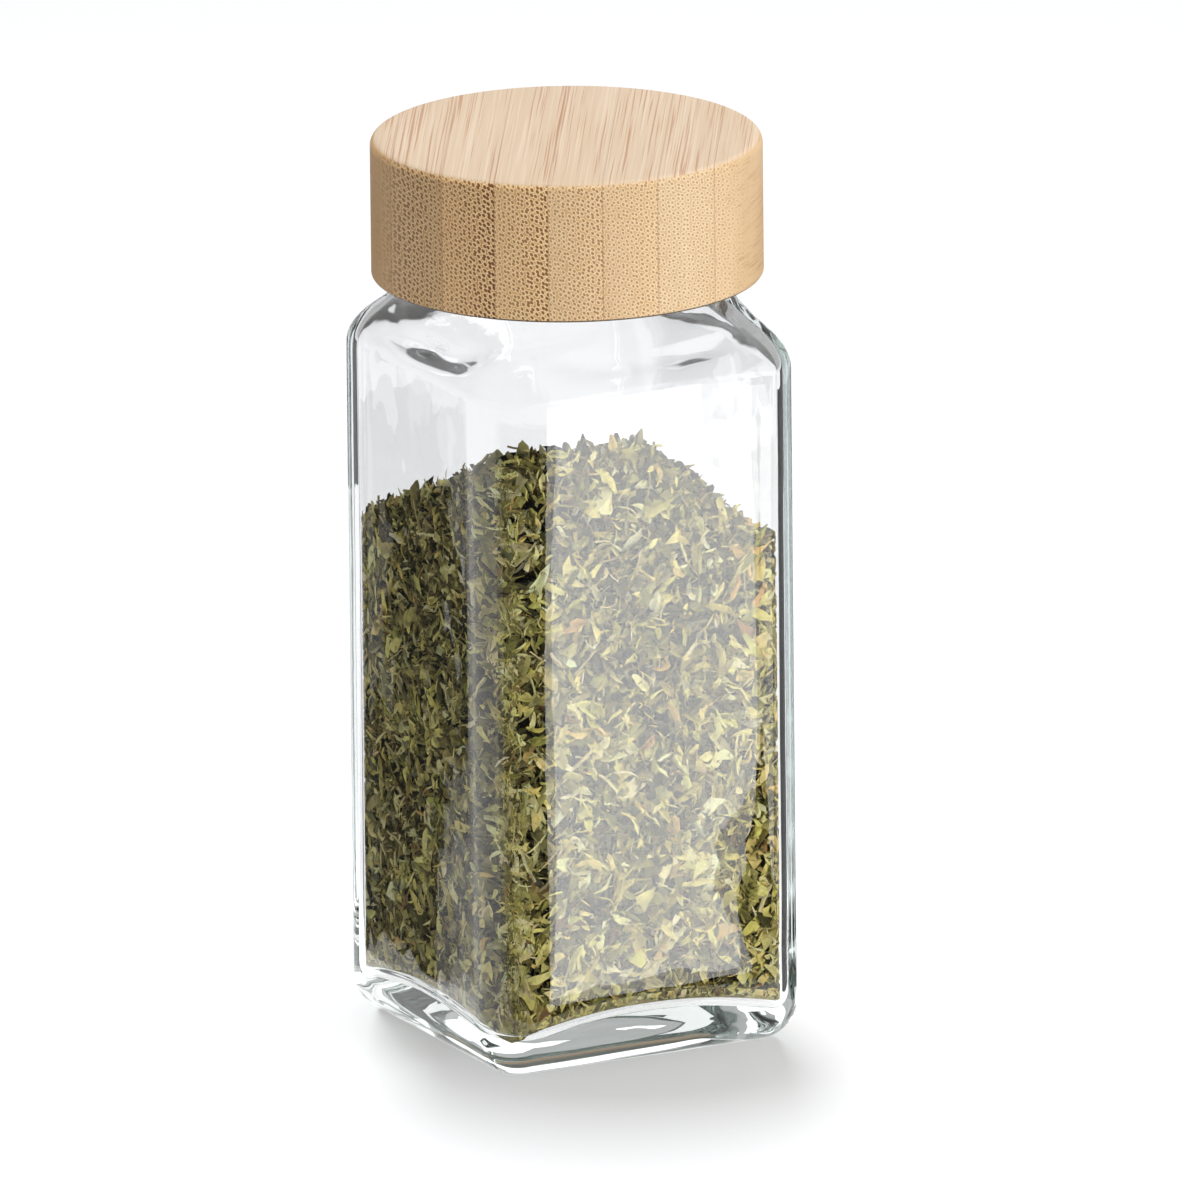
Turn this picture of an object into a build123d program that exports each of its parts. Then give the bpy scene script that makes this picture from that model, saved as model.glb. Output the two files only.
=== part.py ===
from build123d import *
import os
from math import atan2, ceil, cos, floor, hypot, pi, radians, sin, sqrt

# A square glass spice jar, filled with dried herbs and closed with a round bamboo screw lid.
# Millimetres. The origin is the middle of the foot, on the surface that the jar stands on, and +Z is up.
# The jar's faces look along X and Y.

# Glass jar
jar_width = 40.3            # over two opposite faces
jar_corner = 4.7            # radius of the upright corners, outside
glass_wall = 2.2            # thickness of the upright faces
heel_share = 0.95           # radius of the rounding round the foot, to the corner radius
heel_steps = 2              # straight chords in that rounding
side_height = 81.9          # height at which the faces turn into the shoulder
shoulder_rise = 6.8         # from there up to the root of the neck
shoulder_turn = 1.5         # reach of the rounded turn below and above that height, outside
turn_steps = 2              # straight chords in that turn
neck_height = 9.95          # from the root of the neck to the rim
neck_wall = 2.3             # thickness of the neck, without the thread
root_bevel = 0.6            # hollow bevel between shoulder and neck
rim_bevel = 0.5             # bevel round both edges of the rim

# Hollow of the jar
hollow_corner = 4.8         # radius of its upright corners
hollow_drop = 0.8           # how far its shoulder lies under the outer one
floor_centre = 7.6          # height of the crowned floor in the middle
floor_corner = 3.0          # height of the crowned floor in the corners
foot_ring = 3.1             # narrowest width of the flat foot round the recess underneath
recess_depth = 1.4          # of the round recess pressed into the underside
recess_slope = 2.0          # width of its sloping edge

# Herbs: one loose heap, highest in the corner where the -X and -Y faces meet
fill_height = 75.2          # of the highest point of the heap
herb_gap = 0.3              # between the heap and the glass
crest_x = 0.3               # where the heap begins to fall towards +X
crest_y = -16.5             # where it begins to fall towards +Y
fall_x = 41.0               # degrees, steepness towards +X
fall_y = 22.0               # degrees, steepness towards +Y

# Sifter insert: a flanged cup with holes, pushed into the neck
sifter_flange = 0.8         # thickness of the flange on the rim
flange_inset = 0.3          # how far the flange stays inside the neck's outer face
sifter_skirt = 5.6          # depth of the skirt below the flange
sifter_wall = 0.9
sifter_plate = 1.2          # thickness of the holed plate, flush with the flange
skirt_play = 0.35           # between the skirt and the bore
rib_play = 0.12             # between the skirt's grip rib and the bore
rib_height = 1.4            # of the grip rib, round the foot of the skirt
lead_in = 0.5               # chamfer round the foot of the rib
hole_radius = 2.1
hole_pitch = 7.6
hole_rings = 1              # rings of holes around the middle one

# Sealing liner, which lies loose in the cap and rests on the insert
liner_play = 1.05           # between the liner and the side of the cap
liner_thickness = 1.1

# Threaded inner cap, glued into the bamboo
cap_wall = 1.0
cap_top = 1.2
thread_room = 1.6           # between the neck and the cap, for the thread
cap_mouth_inset = 0.7       # how far the cap's mouth stays inside the bamboo
bead_play = 0.3             # between the liner's retaining bead and the neck
bead_height = 0.5
bead_gap = 0.1              # between the bead and the liner

# Bamboo lid, turned from a board of upright strips glued side by side
lid_overhang = 2.35         # of the lid over the faces of the jar
lid_wall = 2.45             # bamboo left round the inner cap
lid_top = 4.0               # bamboo left above the inner cap
lid_lift = 0.75             # between the lid's mouth and the root of the neck
glue_gap = 0.05             # between the inner cap and the bamboo
lid_top_round = 1.0
lid_round_steps = 2         # straight chords in that rounding
strip_share = 0.2756        # width of a strip, to the radius of the lid
shift_share = -0.0445       # place of the seam nearest the middle, to the radius of the lid
grain_turn = -30.0          # degrees, of the grain from the Y axis

# Overrun of every cut
over = 1.0

# Radii from the lid inwards to the bore of the neck
lid_radius = jar_width / 2 + lid_overhang
cap_radius = lid_radius - lid_wall - glue_gap
liner_radius = cap_radius - cap_wall - liner_play
neck_radius = cap_radius - cap_wall - thread_room
bore_radius = neck_radius - neck_wall

# Heights of the stack that stands on the rim
shoulder_top = side_height + shoulder_rise
rim_height = shoulder_top + neck_height
flange_top = rim_height + sifter_flange
liner_top = flange_top + liner_thickness
cap_crown = liner_top + cap_top
lid_crown = cap_crown + lid_top
lid_mouth = shoulder_top + lid_lift
cap_mouth = lid_mouth + cap_mouth_inset

# The hollow of the jar
hollow_half = jar_width / 2 - glass_wall
corner_reach = (hollow_half - hollow_corner) * sqrt(2) + hollow_corner


def quarter_outline(half, corner, height):
    # Ends of the +X side of a rounded square, and the corner arc that follows it
    straight = half - corner
    slant = straight + corner * sin(pi / 4)
    ends = [(half, -straight, height), (half, straight, height)]
    bend = ThreePointArc(ends[1], (slant, slant, height), (straight, half, height))
    return ends, bend


def square_face(half, corner, height):
    # Level rounded square, or a circle where the corners leave no straight side
    ends, bend = quarter_outline(half, corner, height)
    outline = [bend]
    if corner < half:
        outline.append(Line(*ends))
    return make_face([Rot(0, 0, 90 * quarter) * edge for quarter in range(4) for edge in outline])


def block(sections):
    # Solid through level rounded squares, with flat sides and straight lines up its corners
    quarter_faces = []
    for lower, upper in zip(sections, sections[1:]):
        lower_ends, lower_bend = quarter_outline(*lower)
        upper_ends, upper_bend = quarter_outline(*upper)
        half, corner, height = upper
        side_points = lower_ends + upper_ends[::-1] if corner < half else lower_ends + upper_ends[:1]
        quarter_faces.append(make_face(Polyline(*side_points, close=True)))
        quarter_faces.append(Face.make_surface_from_curves(lower_bend.edge(), upper_bend.edge()))
    faces = [Rot(0, 0, 90 * quarter) * face for quarter in range(4) for face in quarter_faces]
    faces += [square_face(*sections[0]).face(), square_face(*sections[-1]).face()]
    return Solid(Shell(faces))


def edges_at(shape, height):
    # Edges that lie level at one height
    near = glass_wall / 100
    return shape.edges().filter_by_position(Axis.Z, height - near, height + near)


def upright(radius, low, high):
    # Round rod between two heights
    return Pos(0, 0, low) * Cylinder(
        radius, high - low, align=(Align.CENTER, Align.CENTER, Align.MIN)
    )


def shoulder(half, corner, turn, root, radius, reach):
    # From an upright square column through a rounded turn, and straight on to a circle
    rise = root - turn
    sections = []
    for step in range(turn_steps + 1):
        way = step / turn_steps
        share = reach / rise * way ** 2
        height = turn - reach * (1 - way) ** 2 + share * rise
        sections.append((half + share * (radius - half), corner + share * (radius - corner), height))
    return block(sections + [(radius, radius, root)])


def heel(half, corner, rounding):
    # Rounded foot of a square column
    sections = []
    for step in range(heel_steps + 1):
        angle = pi / 2 * step / heel_steps
        inset = rounding * (1 - sin(angle))
        sections.append((half - inset, corner - inset, rounding * (1 - cos(angle))))
    return block(sections)


def make_glass_jar():
    half = jar_width / 2
    rounding = jar_corner * heel_share
    straight = side_height - shoulder_turn - rounding
    outside = heel(half, jar_corner, rounding)
    outside += extrude(square_face(half, jar_corner, rounding), straight)
    root_radius = neck_radius + root_bevel
    outside += shoulder(half, jar_corner, side_height, shoulder_top, root_radius, shoulder_turn)
    outside += Pos(0, 0, shoulder_top) * Cone(
        root_radius, neck_radius, root_bevel, align=(Align.CENTER, Align.CENTER, Align.MIN)
    )
    outside += upright(neck_radius, shoulder_top, rim_height)
    jar = outside - make_hollow(0) - upright(bore_radius, shoulder_top - hollow_drop, rim_height + over)
    jar = chamfer(edges_at(jar, rim_height), rim_bevel)
    recess_radius = half - rounding - foot_ring
    return jar - Cone(
        recess_radius,
        recess_radius - recess_slope,
        recess_depth,
        align=(Align.CENTER, Align.CENTER, Align.MIN),
    )


def make_hollow(gap):
    # Inside of the jar up to the root of the neck, drawn in by gap all round
    half = hollow_half - gap
    reach = corner_reach - gap
    turn = side_height - hollow_drop
    root = shoulder_top - hollow_drop
    crown = floor_centre - floor_corner + over
    foot = floor_centre + gap - crown
    form = extrude(square_face(half, hollow_corner - gap, foot + over / 2), root - foot - over / 2)
    # The shoulder is a cone over the corners, and flat over the faces
    cone = Pos(0, 0, turn) * Cone(
        reach, bore_radius, root - turn, align=(Align.CENTER, Align.CENTER, Align.MIN)
    )
    form &= upright(reach, foot, turn) + cone
    slant = atan2(half - bore_radius, root - turn)
    for quarter in range(4):
        side = Plane(origin=(half, 0, turn), z_dir=(cos(slant), 0, sin(slant)))
        form = split(form, bisect_by=Rot(0, 0, 90 * quarter) * side, keep=Keep.BOTTOM)
    # The crowned floor falls straight from the middle to the four corners
    crown_reach = corner_reach * crown / (crown - over)
    base = Pos(0, 0, foot) * Rot(0, 0, 45) * Rectangle(2 * crown_reach, 2 * crown_reach)
    return form - loft([base, Vertex(0, 0, foot + crown)])


def make_herb_fill():
    # Level crest, and a fall from it towards +X and towards +Y
    slopes = [
        Plane(origin=(0, 0, fill_height), z_dir=(0, 0, 1)),
        Plane(origin=(crest_x, 0, fill_height), z_dir=(sin(radians(fall_x)), 0, cos(radians(fall_x)))),
        Plane(origin=(0, crest_y, fill_height), z_dir=(0, sin(radians(fall_y)), cos(radians(fall_y)))),
    ]
    heap = make_hollow(herb_gap)
    for slope in slopes:
        heap = split(heap, bisect_by=slope, keep=Keep.BOTTOM)
    return heap


def hole_places():
    # Rows of a triangular grid, kept to the hexagon of the given number of rings
    row_pitch = hole_pitch * sqrt(3) / 2
    places = []
    for row in range(-hole_rings, hole_rings + 1):
        columns = 2 * hole_rings + 1 - abs(row)
        for column in range(columns):
            places.append(((column - (columns - 1) / 2) * hole_pitch, row * row_pitch))
    return places


def make_sifter_insert():
    skirt_radius = bore_radius - skirt_play
    inner_radius = skirt_radius - sifter_wall
    skirt_foot = rim_height - sifter_skirt
    rib = upright(bore_radius - rib_play, skirt_foot, skirt_foot + rib_height)
    insert = chamfer(edges_at(rib, skirt_foot), lead_in)
    insert += upright(skirt_radius, skirt_foot, rim_height)
    insert += upright(neck_radius - flange_inset, rim_height, flange_top)
    insert -= upright(inner_radius, skirt_foot - over, flange_top - sifter_plate)
    for x, y in hole_places():
        if hypot(x, y) + hole_radius < inner_radius:
            insert -= Pos(x, y, 0) * upright(hole_radius, skirt_foot, flange_top + over)
    return insert


def make_seal_liner():
    return upright(liner_radius, flange_top, liner_top)


def make_inner_cap():
    inner_radius = cap_radius - cap_wall
    cup = upright(cap_radius, cap_mouth, cap_crown)
    cup -= upright(inner_radius, cap_mouth - over, liner_top)
    bead_top = flange_top - bead_gap
    bead = upright(inner_radius + cap_wall / 2, bead_top - bead_height, bead_top)
    bead -= upright(neck_radius + bead_play, bead_top - bead_height - over, bead_top + over)
    return cup + bead


def make_lid_blank():
    # Turned profile, with the rounding of the top edge in short chords
    shoulder_radius = lid_radius - lid_top_round
    shoulder_height = lid_crown - lid_top_round
    rounding = []
    for step in range(lid_round_steps + 1):
        angle = pi / 2 * step / lid_round_steps
        rounding.append(
            (shoulder_radius + lid_top_round * sin(angle), shoulder_height + lid_top_round * cos(angle))
        )
    recess_radius = cap_radius + glue_gap
    profile = Plane.XZ * Polyline(
        (0, lid_crown),
        *rounding,
        (lid_radius, lid_mouth),
        (recess_radius, lid_mouth),
        (recess_radius, cap_crown),
        (0, cap_crown),
        close=True,
    )
    return revolve(make_face(profile), Axis.Z)


def make_bamboo_strips():
    # The turned blank cut along the glue seams, from one side of the lid to the other
    blank = make_lid_blank()
    strip_width = strip_share * lid_radius
    first = floor((-1 - shift_share) / strip_share)
    last = ceil((1 - shift_share) / strip_share)
    strips = []
    for place in range(first, last):
        low = shift_share * lid_radius + place * strip_width
        slab = Pos(low, 0, lid_mouth - over) * Box(
            strip_width,
            2 * (lid_radius + over),
            lid_crown - lid_mouth + 2 * over,
            align=(Align.MIN, Align.CENTER, Align.MIN),
        )
        strips.append(blank & Rot(0, 0, grain_turn) * slab)
    return strips


def main():
    os.makedirs("parts", exist_ok=True)
    nodes = {
        "glass_jar": make_glass_jar(),
        "herb_fill": make_herb_fill(),
        "sifter_insert": make_sifter_insert(),
        "seal_liner": make_seal_liner(),
        "inner_cap": make_inner_cap(),
    }
    for number, strip in enumerate(make_bamboo_strips(), 1):
        nodes[f"bamboo_strip_{number}"] = strip
    for name, shape in nodes.items():
        export_step(shape, f"parts/{name}.step")


main()
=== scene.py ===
from math import atan2, cos, exp, hypot, pi, radians, sin

import bmesh
import bpy
import numpy as np
from mathutils import Matrix, Vector, noise


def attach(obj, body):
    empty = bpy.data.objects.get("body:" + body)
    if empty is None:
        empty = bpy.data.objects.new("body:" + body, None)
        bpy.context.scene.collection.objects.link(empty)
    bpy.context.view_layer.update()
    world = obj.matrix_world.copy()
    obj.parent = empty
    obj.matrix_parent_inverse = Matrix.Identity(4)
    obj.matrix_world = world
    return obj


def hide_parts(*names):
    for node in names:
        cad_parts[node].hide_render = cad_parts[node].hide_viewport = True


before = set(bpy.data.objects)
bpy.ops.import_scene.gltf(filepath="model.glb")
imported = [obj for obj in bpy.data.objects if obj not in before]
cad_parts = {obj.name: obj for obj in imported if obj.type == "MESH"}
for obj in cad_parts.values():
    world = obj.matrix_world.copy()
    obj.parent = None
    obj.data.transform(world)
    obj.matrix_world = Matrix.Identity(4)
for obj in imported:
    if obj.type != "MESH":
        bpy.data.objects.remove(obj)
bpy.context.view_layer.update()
scene = bpy.context.scene
mm = 0.001  # sizes are in millimetres, and a mesh is scaled to metres when its shape is done


# Shader maths

class Sock:
    # A node socket that takes part in sums
    def __init__(self, finish, socket):
        self.finish, self.socket = finish, socket

    def calc(self, operation, *others):
        return self.finish.math(operation, self, *others)

    def __add__(self, other):
        return self.calc("ADD", other)

    def __sub__(self, other):
        return self.calc("SUBTRACT", other)

    def __rsub__(self, other):
        return self.finish.math("SUBTRACT", other, self)

    def __mul__(self, other):
        return self.calc("MULTIPLY", other)

    def __truediv__(self, other):
        return self.calc("DIVIDE", other)

    __radd__, __rmul__ = __add__, __mul__


class Finish:
    # The nodes of the world, or of a new material by its name; add() makes any node and gives one output
    def __init__(self, owner):
        if isinstance(owner, str):
            owner = bpy.data.materials.new(owner)
        owner.use_nodes = True
        self.owner, self.tree = owner, owner.node_tree
        self.tree.nodes.clear()

    def put(self, socket, value):
        if isinstance(value, Sock):
            self.tree.links.new(value.socket, socket)
        else:
            socket.default_value = value

    def add(self, kind, settings=None, inputs=None, out=0):
        node = self.tree.nodes.new("ShaderNode" + kind)
        for key, value in (settings or {}).items():
            if key == "stops":
                self.setStops(node.color_ramp, value)
            else:
                setattr(node, key, value)
        for key, value in (inputs or {}).items():
            self.put(node.inputs[key], value)
        return Sock(self, node.outputs[out])

    def setStops(self, ramp, stops):
        while len(ramp.elements) < len(stops):
            ramp.elements.new(0.5)
        for element, (place, _) in zip(ramp.elements, stops):
            element.position = place
        for element, (_, colour) in zip(ramp.elements, stops):
            element.color = (*colour, 1)

    def math(self, operation, *values):
        return self.add("Math", {"operation": operation}, dict(enumerate(values)))

    def mix(self, factor, first, second, blend="MIX"):  # of colours
        settings = {"data_type": "RGBA", "blend_type": blend}
        return self.add("Mix", settings, {"Factor": factor, 6: first, 7: second}, 2)

    def tint(self, colour, by):
        return self.mix(1.0, colour, (*by, 1), "MULTIPLY")

    def remap(self, value, low, high, start=0.0, end=1.0, kind="LINEAR"):
        values = dict(enumerate((value, low, high, start, end)))
        return self.add("MapRange", {"interpolation_type": kind}, values)

    def smooth(self, value, low, high):
        return self.remap(value, low, high, kind="SMOOTHSTEP")

    def coords(self):
        return self.add("TexCoord", out="Object")

    def point(self, x, y, z=0.0):
        return self.add("CombineXYZ", None, {0: x, 1: y, 2: z})

    def noise(self, point, detail, scale=1.0):
        return self.add("TexNoise", None, {"Vector": point, "Scale": scale, "Detail": detail})

    def bump(self, height, strength, distance):
        return self.add("Bump", None, {"Height": height, "Strength": strength, "Distance": distance})

    def emission(self, strength):
        return self.add("Emission", None, {"Color": (1, 1, 1, 1), "Strength": strength})

    def skin(self, inputs):
        return self.end(self.add("BsdfPrincipled", None, inputs))

    def rays(self, *kinds):  # what sort of ray is looking
        return [self.add("LightPath", out=kind) for kind in kinds]

    def unmirrored(self):  # 1 for a ray that nothing has mirrored yet, else 0
        return self.add("LightPath", out="Glossy Depth").calc("LESS_THAN", 0.5)

    def end(self, surface, volume=None):
        kind = "World" if isinstance(self.owner, bpy.types.World) else "Material"
        output = self.tree.nodes.new("ShaderNodeOutput" + kind)
        self.put(output.inputs["Surface"], surface)
        if volume:
            self.put(output.inputs["Volume"], volume)
        return self.owner


def flatLength(first, second):  # of the vector with these two parts
    return (first * first + second * second).calc("SQRT")


def linear(red, green, blue):  # of 0 to 255 screen values
    def one(value):
        value /= 255
        return value / 12.92 if value <= 0.04045 else ((value + 0.055) / 1.055) ** 2.4
    return (one(red), one(green), one(blue), 1.0)


def addObject(name, data):
    thing = bpy.data.objects.new(name, data)
    scene.collection.objects.link(thing)
    return thing


def dress(mesh, material):
    mesh.materials.clear()
    mesh.materials.append(material)


def addPiece(name, mesh, body, material, nodes=()):
    piece = addObject(name, mesh)
    dress(mesh, material)
    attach(piece, body)
    if nodes:
        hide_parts(*nodes)


def turnTo(place, side, up, back):  # the matrix of a camera or a lamp
    return Matrix.Translation(place) @ Matrix((side, up, back)).transposed().to_4x4()


def toMesh(bm, name, sharpFrom=None):
    bmesh.ops.scale(bm, vec=(mm, mm, mm), verts=bm.verts)
    bmesh.ops.recalc_face_normals(bm, faces=bm.faces)
    for face in bm.faces:
        face.smooth = True
    mesh = bpy.data.meshes.new(name)
    bm.to_mesh(mesh)
    bm.free()
    if sharpFrom:
        mesh.set_sharp_from_angle(angle=radians(sharpFrom))
    return mesh


def extrudeEdges(bm, edges):  # gives the new vertices and the new open edges
    made = bmesh.ops.extrude_edge_only(bm, edges=edges)["geom"]
    verts = [item for item in made if isinstance(item, bmesh.types.BMVert)]
    return verts, [item for item in made if isinstance(item, bmesh.types.BMEdge) and item.is_boundary]


def closeHoles(bm):
    bmesh.ops.holes_fill(bm, edges=[e for e in bm.edges if e.is_boundary], sides=0)


def roundEdges(bm, edges, size, cuts):
    bmesh.ops.bevel(bm, geom=edges, offset=size, affect="EDGES", segments=cuts, profile=0.5, material=-1)


def shares(steps, first=1, last=None):  # of a way that is gone in equal steps
    return [step / steps for step in range(first, (steps if last is None else last) + 1)]


def arc(size, way):  # a quarter round: how far it has left its first side, and how far its last one is
    return size * (1 - cos(pi / 2 * way)), size * (1 - sin(pi / 2 * way))


# Camera

# angles in degrees, lengths in millimetres, the focal length in pixels and the clip distances in metres
view = {
    "azimuth": -27.03, "elevation": 15.54, "roll": -0.592, "distance": 5564.0,
    "focal": 48478.0, "aimHeight": 51.53, "aimRight": 2.25, "pixels": 1181.0, "sensor": 36.0,
    "clip": (0.5, 40.0),
}


def makeCamera():
    azimuth, elevation, roll = (radians(view[k]) for k in ("azimuth", "elevation", "roll"))
    back = Vector((sin(azimuth) * cos(elevation), -cos(azimuth) * cos(elevation), sin(elevation)))
    right = Vector((cos(azimuth), sin(azimuth), 0))
    up = back.cross(right)
    target = Vector((0, 0, view["aimHeight"])) + right * view["aimRight"]
    rolledRight = right * cos(roll) + up * sin(roll)
    rolledUp = up * cos(roll) - right * sin(roll)
    data = bpy.data.cameras.new("camera")
    data.sensor_width = view["sensor"]
    data.lens = view["focal"] * view["sensor"] / view["pixels"]
    data.clip_start, data.clip_end = view["clip"]
    camera = addObject("camera", data)
    camera.matrix_world = turnTo((target + back * view["distance"]) * mm, rolledRight, rolledUp, back)
    scene.camera = camera
    print("camera at", [round(v, 3) for v in camera.location])


makeCamera()


# Glass jar: stacked rings, each a rounded square that blends into a circle

glass = {
    "half": 20.15, "corner": 4.7, "heel": 4.465, "turnHeight": 81.9, "rootHeight": 88.7,
    "turnReach": 2.2, "neck": 17.4, "rootRound": 1.1, "rim": 98.65, "rimRound": 0.65, "bore": 15.1,
    "innerHalf": 17.95, "innerCorners": (3.0, 2.9, 4.5, 1.8), "innerTurnHeight": 81.1,
    "innerTurnReach": 1.6, "innerRoot": 87.9, "innerRootRound": 1.2, "innerFoot": 13.0,
    "floorTop": 7.6, "floorDrop": 4.6, "floorReach": 25.24, "floorRound": 2.4, "floorCorner": 0.6,
    "leastCorner": 0.4, "dish": 12.6, "dishDepth": 1.4, "sunk": 0.12, "innerSunk": 0.16,
    "sideCuts": 13, "cornerCuts": 10,
}

# how far the surface of each part waves
glassWaves = {
    "dish": 0.10, "heel": 0.05, "face": 0.008, "shoulder": 0.05, "root": 0.02, "bore": 0.04,
    "innerRoot": 0.10, "innerShoulder": 0.14, "innerTurn": 0.12, "innerFace": 0.03, "innerFoot": 0.09,
    "floor": 0.12,
}

# width and height of the waves and of the ripples on them; near its middle the hollow waves in its own way
glassRipple = {
    "wave": (9.0, 13.0), "ripple": (3.5, 8.0), "rippleShare": 0.45, "rippleStart": 7.0,
    "middleReach": 19.5, "middleStart": 50.0,
}

# thread of the neck, which runs out at both ends, and the bead under it
thread = {
    "rise": 1.15, "width": 1.05, "round": 2.4, "start": 91.9, "turns": 1.35, "runOut": 0.06,
    "lead": 4.23, "beadHeight": 90.5, "beadWidth": 0.6, "beadRise": 0.45,
}

# thicker glass inside the turn, and one oval flaw on the left face
roll = {
    "from": 70.0, "height": 82.6, "width": 1.05, "depth": 0.55, "even": 0.55, "swell": 0.75,
    "swellLength": 7.0, "ripple": 0.35, "rippleLength": 2.3, "rippleHeight": 4.0, "lift": 0.9,
    "liftLength": 9.0,
}
oval = {"side": -11.3, "height": 77.7, "depth": 0.45, "halfWidth": 1.1, "halfHeight": 2.2, "reach": 5.0}


def crownDrop(x, y):  # how far the floor of the jar lies under its middle
    return glass["floorDrop"] * (np.hypot(x, y) / glass["floorReach"]) ** 2


def ringPlaces():
    # For every vertex of a ring: quarter turn, place along the side (-1 to 1) or angle in the corner
    sides, corners = glass["sideCuts"], glass["cornerCuts"]
    places = []
    for quarter in range(4):
        places += [(quarter, "side", -1 + 2 * step / sides) for step in range(sides + 1)]
        places += [(quarter, "corner", pi / 2 * step / corners) for step in range(1, corners)]
    return places


def ringPoint(place, ring):
    g = glass
    quarter, kind, value = place
    half, share, corner = ring["half"], ring["share"], ring["corners"][quarter]
    sideLength = 2 * (g["half"] - g["corner"])
    sideTurn = pi / 2 * sideLength / (sideLength + g["corner"] * pi / 2)
    if kind == "side":
        low, high = ring["corners"][quarter - 1] - half, half - corner
        x, y = half, (low + high) / 2 + value * (high - low) / 2
        angle = value * sideTurn / 2
        x -= ring["sunk"] * (1 - value * value)
    else:
        x = half - corner + corner * cos(value)
        y = half - corner + corner * sin(value)
        angle = sideTurn / 2 + (pi / 2 - sideTurn) * value / (pi / 2)
    x += share * (ring["radius"] * cos(angle) - x)
    y += share * (ring["radius"] * sin(angle) - y)
    for _ in range(quarter):
        x, y = -y, x
    return x, y, ring["z"] - ring["crown"] * crownDrop(x, y)


def threadOut(x, y, z):  # how far the ridge or the bead stands out of the neck here
    t = thread
    turned = atan2(y, x) / (2 * pi)
    out = t["beadRise"] * max(0.0, 1 - (abs(z - t["beadHeight"]) / t["beadWidth"]) ** 2)
    for lap in range(2):
        along = turned + lap
        ends = (along, t["turns"] - along)
        begin, finish = (min(1, max(0, (end + t["runOut"]) / 2 / t["runOut"])) for end in ends)
        off = abs(z - t["start"] - along * t["lead"]) / t["width"]
        out = max(out, t["rise"] * begin * finish * max(0.0, 1 - off ** t["round"]))
    return out


def innerRoll(x, y, z):  # how much thicker the glass is here
    r, o = roll, oval
    swell = noise.noise(Vector((x / r["swellLength"], y / r["swellLength"], 5.1)))
    ripple = noise.noise(Vector((x / r["rippleLength"], y / r["rippleLength"], z / r["rippleHeight"])))
    lift = r["lift"] * noise.noise(Vector((x / r["liftLength"], y / r["liftLength"], 11.0)))
    uneven = max(0.0, r["even"] + r["swell"] * swell + r["ripple"] * ripple)
    out = r["depth"] * uneven * exp(-((z - r["height"] - lift) / r["width"]) ** 2)
    if x < 0 and abs(y - o["side"]) < o["reach"]:
        away = ((y - o["side"]) / o["halfWidth"]) ** 2 + ((z - o["height"]) / o["halfHeight"]) ** 2
        out += o["depth"] * exp(-away)
    return out


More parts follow.
